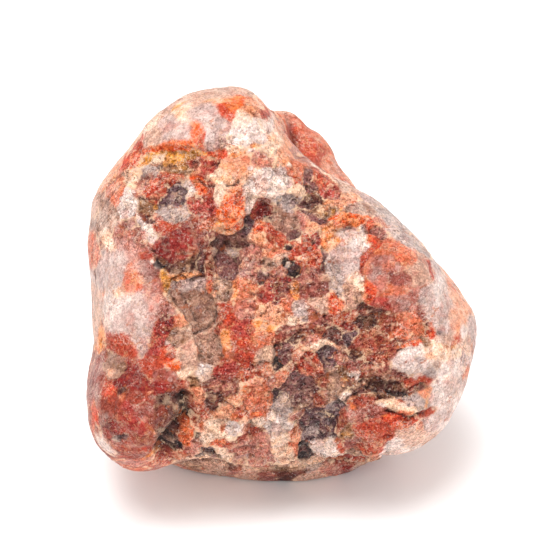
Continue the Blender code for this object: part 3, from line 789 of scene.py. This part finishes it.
def crystal_field(points, x, z, face_points, facing, calm):
    """Shares out the surface among the crystals.

    Each crystal's claim falls off from its middle, and the strongest claim owns a point. Gives the colour,
    gloss and height, each point's distance to the nearest border, and its mineral's number.
    """
    names = list(MINERALS)
    listed = [(names.index(name), crystal) for name, crystals in CRYSTALS.items() for crystal in crystals]
    front = np.where(facing > SIGHT_FACING, face_points[:, 1], OUT_OF_SIGHT)
    claims = np.empty((len(listed) + 2, len(points)), np.float32)
    for row, (_, outline) in enumerate(listed):
        apart = np.hypot(x - outline[0], z - outline[1])
        middle = np.argmin(np.where(apart < SIGHT_RADIUS, front - IN_RADIUS, apart * 3.0 + front))
        size = math.sqrt(outline[2] * outline[3])
        deeper = (face_points[:, 1] - face_points[middle, 1]) * DEPTH_CLAIM / size
        claims[row] = np.hypot(oval(x, z, *outline), deeper)

    first, second, side_mineral = side_grains(points)
    side_claim = SIDE_CLAIM + FRONT_CLAIM * smooth_step(*FRONT_FACING, facing)
    claims[-2] = first * side_claim
    claims[-1] = second * side_claim

    order = np.argpartition(claims, 2, axis=0)[:2]
    lowest = np.take_along_axis(claims, order, axis=0)
    swap = lowest[0] > lowest[1]
    best = np.where(swap, lowest[1], lowest[0])
    rival = np.where(swap, lowest[0], lowest[1])
    owner = np.where(swap, order[1], order[0])

    looks = np.array([[*linear(colour), gloss, proud] for colour, gloss, proud, _ in MINERALS.values()])
    softness = BORDER_SOFTNESS + CALM_SOFTNESS * calm
    look = np.zeros((len(points), 5))
    total = np.zeros(len(points))
    for row in range(len(listed) + 1):
        weight = np.exp(-np.minimum((claims[row] - best) / softness, 30.0))
        look += looks[listed[row][0] if row < len(listed) else side_mineral] * weight[:, None]
        total += weight
    look /= total[:, None]

    sizes = np.array([math.sqrt(outline[2] * outline[3]) for _, outline in listed] + [SIDE_RADIUS] * 2)
    border = (rival - best) * sizes[owner] * 0.5
    mineral = np.array([number for number, _ in listed] + [0, 0])[owner]
    mineral = np.where(owner < len(listed), mineral, side_mineral)
    return look[:, :3], look[:, 3], look[:, 4], border, mineral


def grown_in(colour, mineral, rolls, chosen, strength):
    """Gives some grains the colour of a mineral that grows in their own."""
    guests = np.array([[linear(MINERALS[g][0]) for g in guest] for _, _, _, guest in MINERALS.values()])
    guest = guests[mineral, np.minimum((rolls[:, 3] * 3).astype(int), 2)]
    return blended(colour, guest, smooth_step(*chosen, rolls[:, 4]) * strength)


# ---------------------------------------------------------------- relief


def swelling(x, z, swells):
    """The height that a list of swells gives each (x, z)."""
    height = np.zeros(len(x))
    for rise, *outline in swells:
        height += rise * np.exp(-(oval(x, z, *outline) ** SWELL_EDGE))
    return height


def ledges_and_cracks(x, z):
    """The height that the ledges and cracks give each (x, z), and how dark the cracks' painted shade makes
    it.
    """
    height = np.zeros(len(x))
    dark = np.zeros(len(x))
    for rise, sharpness, reach, path in LEDGES:
        d, inset = path_distance(x, z, path)
        profile = smooth_step(-sharpness, sharpness, d) * np.exp(-np.maximum(d, 0.0) / reach)
        profile *= np.exp(-np.maximum(d - reach, 0.0) / LEDGE_END)
        height += rise * profile * smooth_step(0.0, LEDGE_FADE, inset)
    for width, depth, darkness, path in CRACKS:
        d = np.abs(path_distance(x, z, path)[0]) / width
        height -= depth * np.exp(-(d**2))
        # Painted shade along the crack.
        dark = np.maximum(dark, darkness * np.exp(-((d / CRACK_SHADE_SPREAD) ** 2)))
    return height, dark


def grain_relief(offset, rolls, rise, tilt):
    """Each grain stands a little higher or lower and leans its own way."""
    return rise * (rolls[:, 4] - 0.5) + np.sum(offset * (rolls[:, :3] - 0.5) * tilt, axis=1)


def back_relief(points):
    """Lumps, knocks, steps and fissures of the unbroken back: the height, and how dark the painted shade in
    its fissures makes it.
    """
    first, second, _, rolls = grains(warp(points, KNOCK_WARP, 50), KNOCK_SIZE, 51)
    height = rough(points, 6.0, 21) * LUMP_HEIGHT
    height -= KNOCK_DEPTH * rolls[:, 3] * smooth_step(0.0, KNOCK_EDGE, second - first)
    height += steps(points, 3.4, 2.4, 24) * BACK_STEP
    fissure = smooth_step(FISSURE_WIDTH, 0.0, np.abs(ripple(points, 7.0, 57)))
    fissure *= smooth_step(0.0, 0.3, ripple(points, 4.0, 58))
    return height - FISSURE_DEPTH * fissure, FISSURE_DARK * fissure


def painted_shade_and_highlight(colour, height, dark, calm, edges):
    """Painted shade: hollows and cracks are darkened in the colour; raised edges are painted paler, part
    rubbed wear and part painted highlight.
    """
    hollow = relax(height, edges, HOLLOW_ROUNDS) - height
    # Painted shade: hollows are darkened by how deep they lie below the smoothed surface.
    colour = colour * (1.0 - HOLLOW_SHADE * smooth_step(0.02, 0.35, hollow))[:, None]
    # Raised edges painted paler: part rubbed wear, part painted highlight.
    edge_wear_and_highlight = smooth_step(0.04, 0.22, -hollow) * (1.0 - 0.8 * calm) * EDGE_LIGHT
    colour = blended(colour, linear(EDGE_WEAR_AND_HIGHLIGHT), edge_wear_and_highlight)
    # Painted shade in cracks and fissures.
    return blended(colour, linear(CRACK_SHADE), dark)


def frosted(colour, points, z, worn):
    """The worn skin is paler, as if frosted, but less so where it is red and not at the foot."""
    frost = np.clip(FROST + FROST_PATCHES * rough(points, 1.2, 95), 0.0, MOST_FROST)
    redness = 1.0 - colour[:, 2] / colour[:, 0]
    frost *= 1.0 - 0.8 * smooth_step(0.88, 0.97, redness)
    return blended(colour, linear(FROST_COLOUR), frost * worn * smooth_step(*FROST_FOOT, z))


def paint(mesh, name, values):
    """Stores up to three numbers at each vertex for the material to read."""
    layer = mesh.attributes.new(name, "FLOAT_COLOR", "POINT")
    rgba = np.ones((len(values), 4), np.float32)
    rgba[:, : values.shape[1]] = values
    layer.data.foreach_set("color", rgba.ravel())


def build_rock():
    mesh = rebuilt_surface(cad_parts["rock"])
    edges = mesh_edges(mesh)
    points = coordinates(mesh)
    outward = relax(normals(mesh), edges, OUTWARD_ROUNDS)
    outward /= np.linalg.norm(outward, axis=1)[:, None]
    facing = -turn_to_face(outward)[:, 1]
    seen = smooth_step(*SEEN_FACING, facing)
    back = smooth_step(*BACK_FACING, facing)

    # Which crystal each point is part of, and how worn it is.
    warped = warp(points, CRYSTAL_WARP, 3)
    face_points = to_face(warped)
    x, z = as_seen(face_points)
    calm = np.zeros(len(points))
    for *outline, amount in CALM:
        calm = np.maximum(calm, amount * smooth_step(1.25, 0.75, oval(x, z, *outline)) * seen)
    colour, gloss, proud, border, mineral = crystal_field(warped, x, z, face_points, facing, calm)
    inset = inside_outline(x, z, FRESH_OUTLINE) + FRESH_WANDER * ripple(points, 1.6, 60)
    fresh = smooth_step(-FRESH_EDGE, FRESH_EDGE, inset) * seen
    worn = 1.0 - fresh
    ruggedness = fresh * (1.0 - calm)

    # Small crystals grown into the large ones, and still smaller ones in those.
    first, second, offset, rolls = grains(warp(points, GRAIN_WARP, 70), GRAIN_SIZE, 23)
    _, _, sand_offset, sand_rolls = grains(warp(points, SAND_WARP, 80), SAND_SIZE, 31)
    colour = grown_in(colour, mineral, rolls, GRAIN_CHOSEN, GRAIN_GUESTS)
    colour = grown_in(colour, mineral, sand_rolls, SAND_CHOSEN, SAND_GUESTS)
    light = 1.0 + GRAIN_LIGHT * (rolls[:, 0] - 0.5) + SAND_LIGHT * (sand_rolls[:, 0] - 0.5)
    colour *= (light + PATCH_LIGHT * rough(points, 2.2, 5))[:, None]

    # Large features of the face, and of the lobe behind it.
    plain_x, plain_z = as_seen(to_face(warp(points, FEATURE_WARP, 40)))
    behind = smooth_step(*SHOULDER_DEPTHS, face_points[:, 1]) * smooth_step(-0.80, -0.40, facing)
    feature_height, dark = ledges_and_cracks(plain_x, plain_z)
    height = (swelling(plain_x, plain_z, SWELLS) + feature_height) * seen
    height += swelling(plain_x, plain_z, SHOULDERS) * behind
    dark *= seen

    # Crystals, grains and flakes, which wear has softened outside the broken face.
    height += proud * (0.5 + ruggedness)
    height -= BORDER_DEPTH * np.exp(-((border / BORDER_WIDTH) ** 2)) * (0.35 + 0.65 * ruggedness)
    height += grain_relief(offset, rolls, GRAIN_RISE, GRAIN_TILT) * (0.15 + 0.85 * ruggedness)
    height += grain_relief(sand_offset, sand_rolls, SAND_RISE, GRAIN_TILT) * (0.1 + 0.9 * ruggedness)
    height += rough(points, 3.2, 9) * (0.10 + 0.16 * fresh)
    height += rough(points, 0.8, 10) * (0.02 + 0.06 * ruggedness)
    flat = to_face(points) * np.array(FLAKE_SHAPE)
    height += steps(flat, 2.6, 3.0, 14) * FLAKE_STEP * ruggedness
    height += steps(flat, 1.1, 2.4, 15) * SMALL_FLAKE_STEP * ruggedness

    # The back is knocked, and all of the worn skin is pitted.
    back_height, back_dark = back_relief(points)
    height += back_height * back
    dark = np.maximum(dark, back_dark * back)
    height -= PIT_DEPTH * smooth_step(0.15, 0.50, ripple(points, 1.3, 55)) * (back + 0.4 * worn * seen)

    # Hollows and cracks are painted darker as shade and raised edges paler, part wear and part painted
    # highlight; then the worn skin is frosted.
    colour = frosted(painted_shade_and_highlight(colour, height, dark, calm, edges), points, z, worn)
    moved = points + outward * height[:, None]
    moved[:, 2] = np.maximum(moved[:, 2], 0.0)
    place(mesh, moved)
    paint(mesh, "tint", np.clip(colour, 0.0, 1.0))
    paint(mesh, "traits", np.stack([gloss, worn, calm], axis=1))
    paint(mesh, "seams", np.minimum(np.stack([border, second - first], axis=1), 1.0))
    for polygon in mesh.polygons:
        polygon.use_smooth = True
    rock = bpy.data.objects.new("granite_rock", mesh)
    bpy.context.scene.collection.objects.link(rock)
    return rock


# ---------------------------------------------------------------- material


class Nodes:
    """Short ways to add and join shader nodes."""

    def __init__(self, material):
        self.tree = material.node_tree
        self.tree.nodes.clear()

    def add(self, kind, **settings):
        node = self.tree.nodes.new(kind)
        for name, value in settings.items():
            setattr(node, name, value)
        return node

    def feed(self, socket, value):
        if isinstance(value, bpy.types.NodeSocket):
            self.tree.links.new(value, socket)
        else:
            socket.default_value = value

    def math(self, operation, a, b=0.0):
        node = self.add("ShaderNodeMath", operation=operation)
        self.feed(node.inputs[0], a)
        self.feed(node.inputs[1], b)
        return node.outputs[0]

    def times(self, a, b):
        return self.math("MULTIPLY", a, b)

    def less(self, value, share):
        """One less a share of the value."""
        return self.math("SUBTRACT", 1.0, self.times(value, share))

    def vector(self, operation, a, b=None, scale=None):
        node = self.add("ShaderNodeVectorMath", operation=operation)
        self.feed(node.inputs[0], a)
        if b is not None:
            self.feed(node.inputs[1], b)
        if scale is not None:
            self.feed(node.inputs["Scale"], scale)
        return node.outputs["Value" if operation == "DOT_PRODUCT" else "Vector"]

    def stored(self, name):
        """What paint() stored in the mesh under this name."""
        return self.add("ShaderNodeAttribute", attribute_name=name).outputs["Color"]

    def channels(self, colour):
        node = self.add("ShaderNodeSeparateColor")
        self.feed(node.inputs[0], colour)
        return node.outputs

    def span(self, value, low, high, to_low=0.0, to_high=1.0):
        node = self.add("ShaderNodeMapRange", interpolation_type="SMOOTHSTEP")
        for socket, v in zip(node.inputs, (value, low, high, to_low, to_high)):
            self.feed(socket, v)
        return node.outputs[0]

    def mix(self, blend, factor, a, b):
        node = self.add("ShaderNodeMix", data_type="RGBA", blend_type=blend)
        self.feed(node.inputs[0], factor)
        self.feed(node.inputs[6], a)
        self.feed(node.inputs[7], b)
        return node.outputs[2]

    def noise(self, place, per_mm, detail, roughness):
        node = self.add("ShaderNodeTexNoise", noise_dimensions="3D")
        self.feed(node.inputs["Vector"], place)
        node.inputs["Scale"].default_value = per_mm
        node.inputs["Detail"].default_value = detail
        node.inputs["Roughness"].default_value = roughness
        return node.outputs[0]

    def threads(self, place, per_mm, width, start):
        """Thin wandering lines, broken into pieces."""
        moved = self.vector("ADD", place, (start, start * 0.7, start * 1.3))
        wander = self.math("ABSOLUTE", self.math("SUBTRACT", self.noise(moved, per_mm, 4.0, 0.65), 0.5))
        kept = self.span(self.noise(moved, per_mm * 0.5, 2.0, 0.5), 0.46, 0.56)
        return self.times(self.span(wander, width, 0.0), kept)

    def cells(self, place, per_mm):
        """Packed cells: the random colour of each, and its middle."""
        node = self.add("ShaderNodeTexVoronoi", voronoi_dimensions="3D", feature="F1")
        self.feed(node.inputs["Vector"], place)
        node.inputs["Scale"].default_value = per_mm
        return node.outputs["Color"], node.outputs["Position"]


def granite_material():
    material = bpy.data.materials.new("granite")
    material.use_nodes = True
    n = Nodes(material)
    shader = n.add("ShaderNodeBsdfPrincipled")
    output = n.add("ShaderNodeOutputMaterial")
    n.feed(output.inputs["Surface"], shader.outputs[0])

    mm = n.vector("SCALE", n.add("ShaderNodeTexCoord").outputs["Object"], scale=1.0 / MM)
    tint = n.stored("tint")
    gloss, worn, calm = n.channels(n.stored("traits"))
    crystal_seam, grain_seam, _ = n.channels(n.stored("seams"))
    lively = n.less(calm, 0.45)
    unworn = n.less(calm, 0.8)
    stainable = n.less(gloss, 0.9)

    # Grain: sugary crystals a fifth of a millimetre across, brighter and darker.
    cell_colour, cell_place = n.cells(mm, CELLS_PER_MM)
    cell_light, cell_sparkle, cell_speck = n.channels(cell_colour)
    fine = n.noise(mm, 6.0, 4.0, 0.75)
    coarse = n.noise(mm, 1.6, 3.0, 0.6)
    value = n.span(cell_light, 0.0, 1.0, -0.27, 0.27)
    value = n.math("ADD", value, n.span(fine, 0.30, 0.70, -0.42, 0.46))
    value = n.math("ADD", value, n.span(coarse, 0.30, 0.70, -0.10, 0.10))
    value = n.math("ADD", n.times(value, lively), 1.0)
    colour = n.vector("SCALE", tint, scale=value)
    colour = n.vector("ADD", colour, n.times(n.math("SUBTRACT", value, 1.0), 0.06))
    colour = n.vector("MAXIMUM", colour, DARKEST)

    # Painted glints standing for the sparkle of cleavage faces, dark specks, iron stain, and threads of amber
    # and white.
    painted_sparkle = n.times(n.span(cell_sparkle, 0.86, 0.98), n.span(fine, 0.46, 0.64))
    colour = n.mix("MIX", n.times(painted_sparkle, n.times(lively, 0.44)), colour, PAINTED_SPARKLE)
    speck = n.times(n.span(cell_speck, 0.91, 0.95), n.span(fine, 0.60, 0.42))
    colour = n.mix("MULTIPLY", n.times(speck, n.times(lively, 0.55)), colour, SPECK)
    stain = n.times(n.span(n.noise(mm, 0.9, 5.0, 0.65), 0.54, 0.68), n.times(stainable, 0.35))
    colour = n.mix("MULTIPLY", stain, colour, IRON_STAIN)
    pale = n.span(n.channels(tint)[0], 0.05, 0.45, 0.15, 0.55)
    amber_threads = n.times(n.threads(mm, 0.55, 0.026, 11.0), n.times(pale, stainable))
    white_threads = n.times(n.threads(mm, 0.9, 0.028, 37.0), n.times(pale, lively))
    colour = n.mix("MIX", amber_threads, colour, AMBER_THREAD)
    colour = n.mix("MIX", white_threads, colour, WHITE_THREAD)

    # Seams between crystals: fine veins of pale or rusty growth, or dark gaps, and a painted glint as
    # highlight along grain edges.
    wobble = n.span(fine, 0.30, 0.70, -0.07, 0.07)
    at_border = n.span(n.math("ADD", crystal_seam, wobble), 0.10, 0.03)
    at_grain = n.times(n.span(n.math("ADD", grain_seam, wobble), 0.11, 0.03), unworn)
    which = n.noise(mm, 0.7, 2.0, 0.5)
    pale_vein = n.times(n.times(at_border, n.span(which, 0.48, 0.54, 0.0, 0.70)), unworn)
    rusty_vein = n.times(at_border, n.span(which, 0.46, 0.40, 0.0, 0.60))
    gap = n.times(at_grain, n.span(which, 0.52, 0.44, 0.0, 0.50))
    painted_grain_glint = n.times(at_grain, n.span(which, 0.50, 0.58, 0.0, 0.40))
    dark_threads = n.times(n.threads(mm, 0.8, 0.024, 71.0), 0.55)
    colour = n.mix("MIX", painted_grain_glint, colour, PAINTED_GRAIN_GLINT)
    colour = n.mix("MULTIPLY", gap, colour, GRAIN_GAP)
    colour = n.mix("MIX", rusty_vein, colour, RUSTY_VEIN)
    colour = n.mix("MIX", pale_vein, colour, PALE_VEIN)
    colour = n.mix("MULTIPLY", dark_threads, colour, DARK_THREAD)
    n.feed(shader.inputs["Base Color"], colour)

    # Glassy quartz is smoother than sugary feldspar.
    dull = n.math("SUBTRACT", 0.66, n.times(gloss, 0.28))
    dull = n.math("ADD", dull, n.span(fine, 0.3, 0.7, -0.10, 0.10))
    n.feed(shader.inputs["Roughness"], dull)

    # Relief too fine for the mesh: each small crystal's face tilts its own way.
    middle = n.vector("SCALE", cell_place, scale=CELLS_PER_MM)
    away = n.vector("SUBTRACT", n.vector("SCALE", mm, scale=CELLS_PER_MM), middle)
    facet = n.vector("DOT_PRODUCT", away, n.vector("SUBTRACT", cell_colour, (0.5, 0.5, 0.5)))
    rise = n.math("ADD", n.times(facet, 0.10), n.times(fine, 0.14))
    bump = n.add("ShaderNodeBump")
    bump.inputs["Strength"].default_value = 0.8
    bump.inputs["Distance"].default_value = MM
    n.feed(bump.inputs["Height"], n.times(rise, n.less(worn, 0.7)))
    n.feed(shader.inputs["Normal"], bump.outputs[0])

    shader.inputs["Specular IOR Level"].default_value = 0.18
    shader.inputs["Sheen Weight"].default_value = 0.06
    shader.inputs["Sheen Roughness"].default_value = 0.4
    shader.inputs["Sheen Tint"].default_value = (1.0, 0.96, 0.93, 1.0)
    return material


# ---------------------------------------------------------------- stage


def floor_material():
    material = bpy.data.materials.new("pale_floor")
    material.use_nodes = True
    shader = material.node_tree.nodes["Principled BSDF"]
    shader.inputs["Base Color"].default_value = FLOOR_COLOUR
    shader.inputs["Roughness"].default_value = 0.9
    return material


def look_at(obj, place, target):
    obj.location = place
    obj.rotation_euler = (Vector(target) - Vector(place)).to_track_quat("-Z", "Y").to_euler()


def build_stage():
    bpy.ops.mesh.primitive_plane_add(size=FLOOR_SIZE, location=(0.0, 0.0, 0.0))
    floor = bpy.context.object
    floor.name = "floor"
    floor.data.materials.append(floor_material())

    world = bpy.data.worlds.new("studio")
    world.use_nodes = True
    background = world.node_tree.nodes["Background"]
    background.inputs["Color"].default_value = (1.0, 1.0, 1.0, 1.0)
    background.inputs["Strength"].default_value = WORLD_STRENGTH
    bpy.context.scene.world = world

    middle = FACE_MIDDLE * MM
    for name, (away, size, watts) in LIGHTS.items():
        data = bpy.data.lights.new(name, "AREA")
        data.shape = "SQUARE"
        data.size = size
        data.energy = watts
        light = bpy.data.objects.new(name, data)
        bpy.context.scene.collection.objects.link(light)
        look_at(light, middle + Vector(away), middle)


def build_camera():
    data = bpy.data.cameras.new("camera")
    data.sensor_width = 36.0
    data.lens = data.sensor_width * EYE_DISTANCE / VIEW_WIDTH
    data.clip_start = 0.01
    data.clip_end = 10.0
    camera = bpy.data.objects.new("camera", data)
    bpy.context.scene.collection.objects.link(camera)
    out = Vector((0.0, -math.cos(LEAN), math.sin(LEAN)))
    up = Vector((0.0, math.sin(LEAN), math.cos(LEAN)))
    aim = (FACE_MIDDLE + Vector((AIM_ACROSS, 0.0, 0.0)) + up * AIM_UP) * MM
    look_at(camera, aim + out * EYE_DISTANCE * MM, aim)
    bpy.context.scene.camera = camera


bpy.context.scene.view_settings.view_transform = "Standard"
rock = build_rock()
rock.data.materials.append(granite_material())
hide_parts("rock")
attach(rock, "root")
build_stage()
build_camera()
